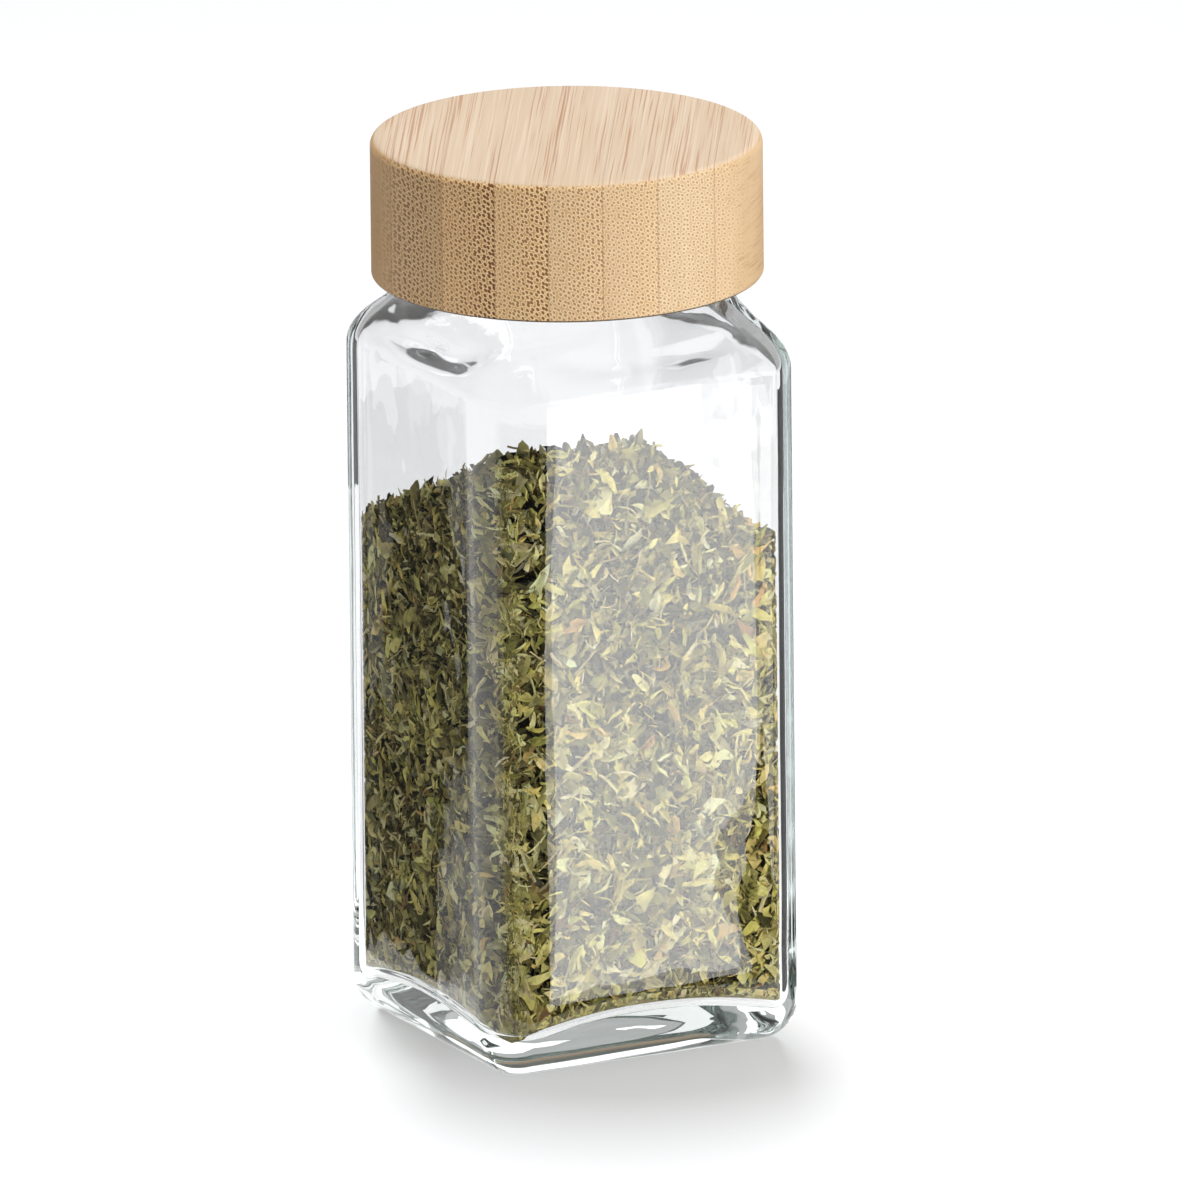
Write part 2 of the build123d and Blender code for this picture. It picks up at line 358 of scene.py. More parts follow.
def glassRings():
    g, w = glass, glassWaves
    rings = []

    def ring(z, half=g["half"], corner=g["corner"], share=0.0, radius=0.0, sunk=0.0, crown=0.0,
             waves=0.0, ridge=False, hollow=False):
        corners = corner if isinstance(corner, tuple) else (corner,) * 4
        rings.append({"z": z, "half": half, "corners": corners, "share": share, "radius": radius,
                      "sunk": sunk, "crown": crown, "waves": waves, "ridge": ridge, "hollow": hollow})

    # dish in the underside, then the flat foot
    for way in shares(10):
        ring(g["dishDepth"] * (1 - way ** 4), g["dish"] * way, 1, 1, g["dish"] * way, waves=w["dish"])
    for way in shares(4, last=3):
        ring(0, g["half"] - g["heel"], g["corner"] - g["heel"], 1 - way, g["dish"])
    # heel
    for way in shares(9, first=0):
        up, inset = arc(g["heel"], way)
        ring(up, g["half"] - inset, g["corner"] - inset, waves=w["heel"])
    # faces, a little sunk in the middle of their height
    low, high = g["heel"], g["turnHeight"] - g["turnReach"]
    for way in shares(30, last=29):
        ring(low + (high - low) * way, sunk=g["sunk"] * sin(pi * way) ** 2, waves=w["face"])
    # rounded turn and shoulder
    rise, reach = g["rootHeight"] - g["turnHeight"], g["turnReach"]
    for way in shares(8, first=0):
        share = reach / rise * way ** 2
        z = g["turnHeight"] - reach * (1 - way) ** 2 + share * rise
        ring(z, share=share, radius=g["neck"], waves=w["shoulder"])
    last, free = reach / rise, 1 - g["rootRound"] / rise
    for way in shares(8):
        share = last + (free - last) * way
        ring(g["turnHeight"] + share * rise, share=share, radius=g["neck"], waves=w["shoulder"])
    for way in shares(6):
        share = 1 - g["rootRound"] / rise * (1 - way) ** 2
        z = g["turnHeight"] + share * rise + g["rootRound"] * way ** 2
        ring(z, share=share, radius=g["neck"], waves=w["root"])
    # neck with its thread
    low, high = g["rootHeight"] + g["rootRound"], g["rim"] - g["rimRound"]
    for way in shares(30):
        ring(low + (high - low) * way, share=1, radius=g["neck"], ridge=True)
    # rim
    for way in shares(6):
        out, down = arc(g["rimRound"], way)
        ring(g["rim"] - down, share=1, radius=g["neck"] - out)
    for way in shares(6, first=0):
        down, out = arc(g["rimRound"], way)
        ring(g["rim"] - down, share=1, radius=g["bore"] + out)
    # bore, inner shoulder and its turn
    inner = {"half": g["innerHalf"], "corner": g["innerCorners"], "radius": g["bore"], "hollow": True}
    bend, start = g["innerRootRound"], g["innerTurnHeight"]
    high, low = g["rim"] - g["rimRound"], g["innerRoot"] + bend
    for way in shares(8):
        ring(high + (low - high) * way, share=1, waves=w["bore"], **inner)
    rise = g["innerRoot"] - start
    for way in shares(6):
        share = 1 - bend / rise * way ** 2
        ring(start + share * rise + bend * (1 - way) ** 2, share=share, waves=w["innerRoot"], **inner)
    top, bottom = 1 - bend / rise, g["innerTurnReach"] / rise
    for way in shares(8):
        share = top + (bottom - top) * way
        ring(start + share * rise, share=share, waves=w["innerShoulder"], **inner)
    for way in shares(8):
        share = bottom * (1 - way) ** 2
        z = start - g["innerTurnReach"] * way ** 2 + share * rise
        ring(z, share=share, waves=w["innerTurn"], **inner)
    # inner faces
    high, low = start - g["innerTurnReach"], g["innerFoot"]
    for way in shares(28):
        sunk = g["innerSunk"] * sin(pi * way) ** 2
        ring(high + (low - high) * way, sunk=sunk, waves=w["innerFace"], **inner)
    # down to the hollow rounding round the floor, which follows the crown
    bend = g["floorRound"]
    for way in shares(6):
        ring(low + (g["floorTop"] + bend - low) * way, crown=way, waves=w["innerFoot"], **inner)
    for way in shares(7):
        inset, up = arc(bend, way)
        corners = tuple(max(g["leastCorner"], c - inset) for c in g["innerCorners"])
        ring(g["floorTop"] + up, g["innerHalf"] - inset, corners, crown=1, waves=w["floor"], hollow=True)
    size = g["innerHalf"] - bend
    for way in shares(9, last=8):
        corner = max(g["leastCorner"], g["floorCorner"] * (1 - way))
        ring(g["floorTop"], size * (1 - way), corner, way ** 2, size * (1 - way), crown=1, waves=w["floor"],
             hollow=True)
    return rings


def glassShift(vert, ring):
    # The waves of pressed glass with the thick places of the hollow, or the thread
    w = glassRipple
    x, y, z = vert.co
    reach = hypot(x, y)
    if ring["ridge"]:
        out = threadOut(x, y, z)
        return Vector((x / reach * out, y / reach * out, 0))
    if not ring["waves"]:
        return Vector()
    middle = ring["hollow"] and reach < w["middleReach"]
    start = w["middleStart"] if middle else 0.0
    (wide, tall), (fineWide, fineTall) = w["wave"], w["ripple"]
    rough = noise.noise(Vector((x / wide + start, y / wide, z / tall)))
    fine = noise.noise(Vector((x / fineWide + start, y / fineWide + w["rippleStart"], z / fineTall)))
    shift = vert.normal * (ring["waves"] * (rough + w["rippleShare"] * fine))
    if middle and z > roll["from"]:
        shift += Vector((-x, -y, 0)).normalized() * innerRoll(x, y, z)
    return shift


def makeGlass(material):
    places, rings = ringPlaces(), glassRings()
    bm = bmesh.new()
    # the first ring is drawn, and each further one is extruded from the ring before it
    verts = [bm.verts.new(ringPoint(place, rings[0])) for place in places]
    edges = [bm.edges.new((vert, verts[(i + 1) % len(verts)])) for i, vert in enumerate(verts)]
    for ring in rings[1:]:
        made, edges = extrudeEdges(bm, edges)
        made = set(made)
        verts = [next(e.other_vert(v) for e in v.link_edges if e.other_vert(v) in made) for v in verts]
        for vert, place in zip(verts, places):
            vert.co = ringPoint(place, ring)
    closeHoles(bm)
    for cap in [f for f in bm.faces if len(f.verts) > 4]:
        centre = bmesh.ops.poke(bm, faces=[cap])["verts"][0]
        heights = [e.other_vert(centre).co.z for e in centre.link_edges]
        centre.co = (0, 0, sum(heights) / len(heights))
    bm.normal_update()
    for vert, ring in zip(bm.verts, [ring for ring in rings for _ in places]):
        vert.co += glassShift(vert, ring)
    for vert in bm.verts:  # nothing waves to below the foot
        vert.co.z = max(0, vert.co.z)
    mesh = toMesh(bm, "jarGlass")
    print("glass", len(rings), "rings", len(mesh.polygons), "faces")
    addPiece("jarGlass", mesh, "jar", material, ("glass_jar",))


def glassFinish():
    f = Finish("clearGlass")
    ripple = f.noise(f.coords(), 1.0, 220.0)
    shell = f.add("BsdfPrincipled", None, {
        "Base Color": (1, 1, 1, 1), "Roughness": 0.0, "IOR": 1.5, "Transmission Weight": 1.0,
        "Normal": f.bump(ripple, 0.04, 0.0004),
    })
    # light reaches the herbs through the glass as through a pale filter
    clear = f.add("BsdfTransparent", None, {"Color": (0.97, 0.985, 0.98, 1)})
    shadow, diffuse = f.rays("Is Shadow Ray", "Is Diffuse Ray")
    surface = f.add("MixShader", None, {0: shadow.calc("MAXIMUM", diffuse), 1: shell, 2: clear})
    return f.end(surface, f.add("VolumeAbsorption", None, {"Color": (0.1, 0.62, 0.5, 1), "Density": 2.4}))


makeGlass(glassFinish())


# Bamboo lid

lid = {
    "radius": 22.5, "mouth": 89.45, "crown": 105.75, "topRound": 1.05, "mouthRound": 0.45,
    "recess": 20.05, "recessTop": 101.75, "stripWidth": 0.2756 * 22.5, "seam": -0.0445 * 22.5,
    "grainTurn": -30.0, "segments": 240, "middleStrip": 5,
}

# Of each strip: tone of red, green and blue, darkness and width of the pores at its left and right edge,
# and where its noise starts
stripLooks = [
    {"tone": (0.86, 0.77, 0.63), "dark": (0.60, 0.70), "pore": (0.9, 0.9), "seed": 3.1},
    {"tone": (0.88, 0.79, 0.65), "dark": (0.95, 0.40), "pore": (1.0, 0.55), "seed": 11.7},
    {"tone": (1.06, 0.95, 0.79), "dark": (0.35, 1.00), "pore": (0.55, 1.0), "seed": 23.9},
    {"tone": (1.1, 1.03, 0.9), "dark": (0.30, 0.80), "pore": (0.5, 0.9), "seed": 37.3},
    {"tone": (1.06, 1.035, 1.0), "dark": (0.25, 0.45), "pore": (0.45, 0.65), "seed": 41.9},
    {"tone": (1.02, 1.0, 1.0), "dark": (0.22, 0.26), "pore": (0.4, 0.42), "seed": 59.3},
    {"tone": (0.98, 1.0, 1.05), "dark": (0.16, 0.16), "pore": (0.3, 0.3), "seed": 67.1},
    {"tone": (1.0, 1.01, 1.06), "dark": (0.16, 0.30), "pore": (0.3, 0.45), "seed": 73.7},
]

bambooColours = {  # on the screen
    "side": (212, 175, 126), "sidePale": (230, 197, 152), "sideDark": (182, 134, 84), "ring": (253, 230, 188),
    "pore": (112, 68, 32), "long": (208, 171, 122), "longPale": (226, 193, 147), "longFibre": (172, 124, 78),
    "top": (215, 189, 157), "topPale": (229, 206, 180), "topFibre": (189, 136, 101),
    # foot is painted shadow along the lower edge of the lid's mouth
    "topFibrePale": (239, 222, 198), "foot": (48, 36, 26), "seam": (150, 104, 62),
}

# sizes of the grain across the fibres, along them and up, and where shades begin and end, in millimetres
grain = {
    "wanderRate": (0.12, 0.035), "wander": 0.9, "topWander": 0.35, "cell": (0.54, 0.58), "cellSlant": 1.4,
    "fine": (0.2, 30, 0.2), "patch": (1.3, 60, 1.6), "band": (1.7, 90, 20), "sideFibre": (1.1, 24, 0.24),
    "topFibre": (0.17, 30, 6), "topFade": (0.42, 0.06), "foot": (0.14, 0.36),
}


def stripLow(number):  # the left edge of a strip, across the fibres
    return lid["seam"] + (number - lid["middleStrip"]) * lid["stripWidth"]


def bambooFinish(number, look):
    f = Finish(f"bambooStrip{number}")
    seed = look["seed"]
    tints = {name: linear(*colour) for name, colour in bambooColours.items()}
    # across the strips, along the fibres and up, all in millimetres
    turned = f.add("Mapping", {"vector_type": "TEXTURE"}, {
        "Vector": f.coords(), "Rotation": (0, 0, radians(lid["grainTurn"])), "Scale": (mm, mm, mm),
    })
    across, along, up = (f.add("SeparateXYZ", None, {0: turned}, k) for k in range(3))
    place = (across - stripLow(number)) / lid["stripWidth"]

    def grainNoise(name, start, shift=0.0, detail=2.0):
        wide, long, high = grain[name]
        return f.noise(f.point(start / wide, along / long + shift, up / high), detail)

    acrossRate, alongRate = grain["wanderRate"]
    wander = f.add("TexNoise", {"noise_dimensions": "2D"}, {
        "Vector": f.point(across * acrossRate + seed, along * alongRate), "Scale": 1.0, "Detail": 2.0,
    })
    shifted = across + (wander - 0.5) * grain["wander"]
    straight = across + (wander - 0.5) * grain["topWander"]
    # end grain: pores as cells in the plane across the fibres, each with a pale ring
    darkness = f.remap(place, 0.0, 1.0, *look["dark"])
    width = f.remap(place, 0.0, 1.0, *look["pore"])
    cellWide, cellHigh = grain["cell"]
    cells = f.add("TexVoronoi", {"voronoi_dimensions": "2D"}, {
        "Vector": f.point(shifted / cellWide + seed, up / cellHigh + shifted / grain["cellSlant"]),
        "Scale": 1.0, "Randomness": 0.5,
    }, "Distance")
    fine = grainNoise("fine", shifted, detail=3.0)
    patches = grainNoise("patch", shifted + seed * grain["patch"][0])
    edge = width * 0.15 + 0.19 + (patches - 0.5) * 0.10 + (fine - 0.5) * 0.10
    pore = 1 - f.smooth(cells, edge - 0.08, edge + 0.08)
    ringShade = f.smooth(cells, edge, edge + 0.10) * (1 - f.smooth(cells, edge + 0.14, edge + 0.30))
    bands = grainNoise("band", across, seed)
    side = f.mix(darkness * 0.75, f.mix(bands, tints["side"], tints["sidePale"]), tints["sideDark"])
    side = f.mix(ringShade * (darkness * 0.5 + 0.55), side, tints["ring"])
    side = f.mix(pore * (darkness * 0.75 + 0.2), side, tints["pore"])
    # long grain, where the side runs along the fibres
    sideFibres = f.smooth(grainNoise("sideFibre", across, seed, 3.0), 0.5, 0.72)
    longGrain = f.mix(sideFibres * 0.45, f.mix(bands, tints["long"], tints["longPale"]), tints["longFibre"])
    endGrain = f.smooth((along / flatLength(across, along)).calc("ABSOLUTE"), 0.28, 0.75)
    side = f.mix(endGrain, longGrain, side)
    # the top: thin reddish fibres with pale ones beside them
    fibres = grainNoise("topFibre", straight, seed * 1.7)
    line = f.smooth(fibres + (bands - 0.5) * 0.5, 0.56, 0.67)
    pale = 1 - f.smooth(fibres, 0.34, 0.47)
    top = f.mix(line * 0.75, f.mix(bands, tints["top"], tints["topPale"]), tints["topFibre"])
    top = f.mix(pale * 0.5, top, tints["topFibrePale"])
    topMask = f.smooth(up, *(lid["crown"] - fade for fade in grain["topFade"]))
    colour = f.mix(topMask, side, top)
    colour = f.mix(1 - topMask, colour, f.tint(colour, look["tone"]))
    # painted shadow along the lower edge at the mouth, and the glue line
    foot = 1 - f.smooth(up, *(lid["mouth"] + rise for rise in grain["foot"]))
    colour = f.mix(foot * 0.9, colour, tints["foot"])
    seamLine = 1 - f.smooth(place.calc("MINIMUM", 1 - place), 0.004, 0.02)
    colour = f.mix(seamLine * 0.35, colour, tints["seam"])
    height = (1 - topMask) * endGrain * (0 - pore) * darkness * 0.8
    height = height + (fine - 0.5) * 0.35 - line * topMask * 0.25
    return f.skin({
        "Base Color": colour, "Roughness": 0.46 + (fine - 0.5) * 0.16 + pore * (1 - topMask) * 0.12,
        "Normal": f.bump(height, 0.35, 0.00012), "Specular IOR Level": 0.42, "Coat Weight": 0.12,
        "Coat Roughness": 0.28,
    })


def lidProfile():
    l = lid
    points = [(0.0, l["crown"])]
    for way in shares(8, first=0):
        down, out = arc(l["topRound"], way)
        points.append((l["radius"] - out, l["crown"] - down))
    for way in shares(4, first=0):
        out, up = arc(l["mouthRound"], way)
        points.append((l["radius"] - out, l["mouth"] + up))
    return points + [(l["recess"], l["mouth"]), (l["recess"], l["recessTop"]), (0.0, l["recessTop"])]


def cutStrip(drum, number):
    # One strip of the turned drum, between its two seams
    part = drum.copy()
    turn = radians(lid["grainTurn"])
    normal = Vector((cos(turn), sin(turn), 0))
    for place, side in ((stripLow(number), 1), (stripLow(number) + lid["stripWidth"], -1)):
        geom = part.verts[:] + part.edges[:] + part.faces[:]
        cut = bmesh.ops.bisect_plane(part, geom=geom, plane_co=normal * place, plane_no=normal * side,
                                     clear_inner=True, dist=1e-5)
        rim = [item for item in cut["geom_cut"] if isinstance(item, bmesh.types.BMEdge)]
        if rim:
            bmesh.ops.edgeloop_fill(part, edges=rim)
    return part


def makeLid():
    drum = bmesh.new()
    verts = [drum.verts.new((r, 0, z)) for r, z in lidProfile()]
    edges = [drum.edges.new(pair) for pair in zip(verts, verts[1:])]
    bmesh.ops.spin(drum, geom=verts + edges, cent=(0, 0, 0), axis=(0, 0, 1), angle=2 * pi,
                   steps=lid["segments"], use_merge=True)
    bmesh.ops.remove_doubles(drum, verts=drum.verts, dist=1e-4)
    bmesh.ops.dissolve_degenerate(drum, dist=1e-5, edges=drum.edges)
    bmesh.ops.recalc_face_normals(drum, faces=drum.faces)
    for number, look in enumerate(stripLooks, 1):
        mesh = toMesh(cutStrip(drum, number), f"lidStrip{number}", 40)
        addPiece(f"lidStrip{number}", mesh, "lid", bambooFinish(number, look),
                 (f"bamboo_strip_{number}",))
    drum.free()
    print("lid strips made")


makeLid()


# Inner cap, liner and sifter insert keep their solids

plastics = {
    "inner_cap": {"name": "capPlastic", "colour": (236, 234, 228), "roughness": 0.38, "grain": 0.10},
    "sifter_insert": {"name": "sifterPlastic", "colour": (232, 232, 228), "roughness": 0.32, "grain": 0.08},
}


def plasticFinish(name, colour, roughness, grain):
    f = Finish(name)
    coords = f.coords()
    mottled = f.noise(coords, 3.0, 160.0)
    fine = f.noise(coords, 2.0, 2600.0)
    high = linear(*colour)
    low = tuple(v * 0.93 for v in high[:3]) + (1,)
    return f.skin({
        "Base Color": f.mix(mottled, low, high), "Roughness": roughness + (mottled - 0.5) * 0.12,
        "Normal": f.bump(fine + mottled * 0.6, grain, 0.00008), "Specular IOR Level": 0.45,
    })


def foamFinish():
    f = Finish("foamLiner")
    coords = f.coords()
    cells = f.add("TexVoronoi", None, {"Vector": coords, "Scale": 1900.0}, "Distance")
    mottled = f.noise(coords, 3.0, 240.0)
    base = f.mix(mottled, linear(226, 226, 222), linear(242, 242, 239))
    base = f.mix((1 - f.smooth(cells, 0.1, 0.5)) * 0.25, base, linear(196, 196, 190))
    return f.skin({
        "Base Color": base, "Roughness": 0.75 + mottled * 0.15, "Normal": f.bump(cells, 0.4, 0.0001),
    })


capPlastic = plasticFinish(**plastics["inner_cap"])
dress(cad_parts["inner_cap"].data, capPlastic)
dress(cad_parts["sifter_insert"].data, plasticFinish(**plastics["sifter_insert"]))
dress(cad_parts["seal_liner"].data, foamFinish())

# the ridge inside the cap lies half a pitch over the thread of the neck
capThread = {
    "wall": 19.05, "crest": 17.95, "halfRoot": 0.85, "halfCrest": 0.3, "start": 94.0, "from": -60.0,
    "turn": 330.0, "steps": 110, "taper": 0.09, "least": 0.08, "round": 0.15, "rootDepth": 0.3,
}


def makeCapThread():
    c = capThread
    low = c["start"] + thread["lead"] * c["from"] / 360
    rise = thread["lead"] * c["turn"] / 360
    wall, crest, root, flat = c["wall"], c["crest"], c["halfRoot"], c["halfCrest"]
    bm = bmesh.new()
    profile = [(wall, -root), (crest, -flat), (crest, flat), (wall, root)]
    turned = Matrix.Rotation(radians(c["from"]), 3, "Z")
    verts = [bm.verts.new(turned @ Vector((r, 0, low + z))) for r, z in profile]
    edges = [bm.edges.new((verts[k], verts[(k + 1) % 4])) for k in range(4)]
    bmesh.ops.spin(bm, geom=verts + edges, cent=(0, 0, 0), axis=(0, 0, 1), angle=radians(c["turn"]),
                   steps=c["steps"], dvec=(0, 0, rise / c["steps"]))
    closeHoles(bm)
    for vert in bm.verts:  # both ends run out into the wall
        way = (vert.co.z - low) / rise
        full = min(1.0, max(0.0, way / c["taper"]), max(0.0, (1 - way) / c["taper"]))
        radius = hypot(vert.co.x, vert.co.y)
        reach = (wall - (wall - radius) * (c["least"] + (1 - c["least"]) * full)) / radius
        vert.co.x, vert.co.y = vert.co.x * reach, vert.co.y * reach
    long = [e for e in bm.edges if len(e.link_faces) == 2 and e.calc_face_angle(0) > 0.5
            and hypot(*e.verts[0].co[:2]) < wall - c["rootDepth"]]
    roundEdges(bm, long, c["round"], 3)
    mesh = toMesh(bm, "capThread", 50)
    addPiece("capThread", mesh, "lid", capPlastic)
    print("cap thread", len(mesh.polygons), "faces")


makeCapThread()


# Herbs: a heap that is highest in the near corner

herbs = {
    "half": 17.66, "corner": 1.3, "floorGap": 0.3, "top": 73.8, "crestX": 0.3, "crestY": -16.5,
    "fallX": 41.0, "fallY": 24.5, "lumps": 1.1, "lumpLength": 5.0, "glassGap": 0.29, "edge": 0.6,
    "coreInset": 2.9, "coreCuts": 19, "coreRough": 0.35, "seed": 7, "templates": 24, "roundTemplates": 6,
    "surface": 1.88, "depthShade": 1.55, "palest": 0.7, "paintedLightFrom": 11.5, "paintedLightOver": 3.0, "paintedLightGain": 0.55,
    "sizeSpread": 0.38, "sizeLimits": (0.35, 2.2), "toneSpread": 0.34,
}

# Layers of fragments: where, how many, depth in the heap, size low and high in the jar, tilt, brightness
herbLayers = [
    {"name": "herbLeavesFront", "at": "side", "count": 9600, "depth": (0.1, 1.1), "size": (3.1, 2.2),
     "tilt": 0.5, "tone": (0.75, 1.25)},
    {"name": "herbLeavesBehind", "at": "side", "count": 8200, "depth": (0.8, 2.3), "size": (3.1, 2.2),
     "tilt": 0.7, "tone": (0.6, 1.2)},
    {"name": "herbShreds", "at": "side", "count": 9600, "depth": (0.05, 1.2), "size": (2.3, 1.7),
     "tilt": 0.4, "tone": (0.8, 1.5), "shape": "shred"},
    {"name": "herbLeavesTop", "at": "top", "count": 5600, "depth": (0.7, 2.8), "size": (2.2, 2.2),
     "tilt": 0.8, "tone": (0.6, 1.1)},
    {"name": "herbLeavesFloor", "at": "floor", "count": 1800, "depth": (0.3, 1.8), "size": (2.8, 2.8),
     "tilt": 0.35, "tone": (0.6, 1.1)},
    {"name": "herbCrumbs", "at": "side", "count": 5200, "depth": (0.15, 1.4), "size": (0.55, 0.45),
     "tilt": 1.5, "tone": (0.5, 1.3), "shape": "crumb"},
    {"name": "herbStems", "at": "side", "count": 420, "depth": (0.1, 0.6), "size": (3.2, 2.4),
     "tilt": 0.15, "tone": (0.6, 1.0), "shape": "stem", "colour": (190, 174, 128)},
    {"name": "herbSprigs", "at": "top", "count": 260, "depth": (-0.2, 1.2), "size": (2.6, 2.6),
     "tilt": 0.5, "tone": (0.4, 0.8), "shape": "stem", "colour": (168, 156, 104)},
]

leafColours = [  # share, colour on the screen
    (0.27, (166, 154, 88)), (0.19, (184, 172, 106)), (0.15, (140, 130, 66)), (0.12, (206, 196, 138)),
    (0.09, (106, 100, 48)), (0.05, (220, 212, 164)), (0.035, (176, 150, 86)), (0.012, (168, 132, 78)),
    (0.015, (112, 84, 52)),
]

# painted shade: the core's nearly black colours stand for the shade between the leaves
coreShadeColours = [(0.3, (20, 16, 6)), (0.5, (40, 34, 14)), (0.7, (70, 62, 30))]  # place in the ramp, colour

leafShapes = {  # least and greatest width to the length, and how curled
    "leaf": {"widths": (0.26, 0.62), "curl": 1.0}, "shred": {"widths": (0.07, 0.2), "curl": 1.5},
}


def heapHeight(x, y):
    h = herbs
    fallX = np.tan(radians(h["fallX"])) * np.maximum(0, x - h["crestX"])
    fallY = np.tan(radians(h["fallY"])) * np.maximum(0, y - h["crestY"])
    return h["top"] - np.maximum(fallX, fallY)


def floorHeight(x, y):
    return glass["floorTop"] - crownDrop(x, y)


def shapeArrays(bm):
    bmesh.ops.triangulate(bm, faces=bm.faces)
    bm.verts.index_update()
    points = np.array([v.co[:] for v in bm.verts])
    faces = np.array([[v.index for v in face.verts] for face in bm.faces])
    bm.free()
    return points - points.mean(0), faces


def makeLeaf(rng, widths, curl):
    # A fragment of leaf, folded along the middle, bent and twisted, with a broken outline
    bm = bmesh.new()
    columns = 5
    bmesh.ops.create_grid(bm, x_segments=columns, y_segments=2, size=0.5)
    width = rng.uniform(*widths)
    broken = rng.uniform(0.55, 1.0, (2, columns + 1))
    ends = rng.uniform(0.0, 0.5, 2)
    fold = rng.uniform(0.3, 1.5) * rng.choice((-1, 1))
    bend = rng.uniform(-1.8, 1.8) * curl
    twist = rng.uniform(-1.5, 1.5) * curl
    sway = rng.uniform(-0.35, 0.35) * curl
    for vert in bm.verts:
        x, y = vert.co.x, vert.co.y
        column = int(round((x + 0.5) * columns))
        blunt = ends[0] if x < 0 else ends[1]
        taper = blunt + (1 - blunt) * max(0.0, 1 - (2 * x) ** 2) ** 0.6
        y *= width * taper * (broken[0 if y < 0 else 1, column] if abs(y) > 0.01 else 1)
        z = fold * abs(y) + bend * 0.4 * x * x + 0.03 * float(rng.standard_normal())
        y += sway * x * x
        turn = twist * x
        vert.co = (x, y * cos(turn) - z * sin(turn), y * sin(turn) + z * cos(turn))
    return shapeArrays(bm)


def makeCrumb(rng):
    bm = bmesh.new()
    bmesh.ops.create_icosphere(bm, subdivisions=1, radius=0.5)
    for vert in bm.verts:
        vert.co *= float(rng.uniform(0.55, 1.1))
        vert.co.z *= 0.45
    return shapeArrays(bm)


def makeStem(rng):
    bm = bmesh.new()
    bmesh.ops.create_circle(bm, segments=5, radius=0.04, cap_ends=False)
    ring = bm.edges[:]
    for _ in range(5):
        verts, ring = extrudeEdges(bm, ring)
        shift = (0.025 * rng.standard_normal(), 0.025 * rng.standard_normal(), 0.2)
        bmesh.ops.translate(bm, vec=shift, verts=verts)
    closeHoles(bm)
    bmesh.ops.rotate(bm, matrix=Matrix.Rotation(pi / 2, 3, "Y"), verts=bm.verts)
    return shapeArrays(bm)


def pickColours(rng, layer):
    count = layer["count"]
    if "colour" in layer:
        picked = np.tile(linear(*layer["colour"])[:3], (count, 1))
    else:
        weights = np.array([share for share, _ in leafColours])
        table = np.array([linear(*colour)[:3] for _, colour in leafColours])
        picked = table[rng.choice(len(table), count, p=weights / weights.sum())]
    picked = picked * rng.uniform(*layer["tone"], (count, 1)) * rng.uniform(0.94, 1.06, (count, 3))
    return picked * np.exp(rng.normal(0, herbs["toneSpread"], (count, 1)))


def turnsTo(normals, rng, tilt):
    # Random turns about each normal, tipped by about tilt radians
    count = len(normals)
    spin = rng.uniform(0, 2 * pi, count)
    helper = np.where(np.abs(normals[:, 2:3]) > 0.9, (1.0, 0.0, 0.0), (0.0, 0.0, 1.0))
    first = np.cross(helper, normals)
    first /= np.linalg.norm(first, axis=1, keepdims=True)
    second = np.cross(normals, first)
    along = first * np.cos(spin)[:, None] + second * np.sin(spin)[:, None]
    beside = np.cross(normals, along)
    lean = rng.normal(0, tilt, count)[:, None]
    tipped = normals * np.cos(lean) + along * np.sin(lean)
    along = along * np.cos(lean) - normals * np.sin(lean)
    lean = rng.normal(0, tilt, count)[:, None]
    final = tipped * np.cos(lean) + beside * np.sin(lean)
    return np.stack([along, np.cross(final, along), final], axis=2)


def keepInside(points):
    # Draws points into the rounded square of the hollow and over its crowned floor
    h = herbs
    x, y = points[:, 0], points[:, 1]
    corners = glass["innerCorners"]
    right, left = np.where(y > 0, corners[0], corners[3]), np.where(y > 0, corners[1], corners[2])
    corner = np.where(x > 0, right, left) - h["glassGap"]
    straight = h["half"] - corner
    offX, offY = np.maximum(np.abs(x) - straight, 0), np.maximum(np.abs(y) - straight, 0)
    reach = np.hypot(offX, offY)
    scale = np.where(reach > corner, corner / np.maximum(reach, 1e-9), 1)
    x[:] = np.sign(x) * (np.minimum(np.abs(x), straight) + offX * scale)
    y[:] = np.sign(y) * (np.minimum(np.abs(y), straight) + offY * scale)
    # the hollow rounding between the floor and the faces
    bend = glass["floorRound"]
    inside = np.clip(bend - (h["half"] - np.maximum(np.abs(x), np.abs(y))), 0, bend)
    floor = floorHeight(x, y) + h["floorGap"] + bend - np.sqrt(np.maximum(bend ** 2 - inside ** 2, 0))
    points[:, 2] = np.maximum(points[:, 2], floor)
    return points


def placesAtSide(count, depth, rng):
    # Points, outward normals and depths on the upright faces and their corners
    corner = herbs["corner"]
    straight = herbs["half"] - corner
    sideLength, bendLength = 2 * straight, corner * pi / 2
    way = rng.uniform(0, 4 * (sideLength + bendLength), count)
    quarter = np.floor(way / (sideLength + bendLength))
    rest = way - quarter * (sideLength + bendLength)
    angle = np.maximum(0, rest - sideLength) / corner
    x = np.where(angle > 0, straight + corner * np.cos(angle), herbs["half"])
    y = np.where(angle > 0, straight + corner * np.sin(angle), rest - straight)
    turn = quarter * pi / 2
    nx, ny = np.cos(angle + turn), np.sin(angle + turn)
    px, py = x * np.cos(turn) - y * np.sin(turn), x * np.sin(turn) + y * np.cos(turn)
    low, high = floorHeight(px, py) - 0.5, heapHeight(px * 0.96, py * 0.96)
    z = low + (high - low) * rng.uniform(0, 1, count)
    places = np.stack([px - nx * depth, py - ny * depth, z], 1)
    return places, np.stack([nx, ny, np.zeros(count)], 1), depth


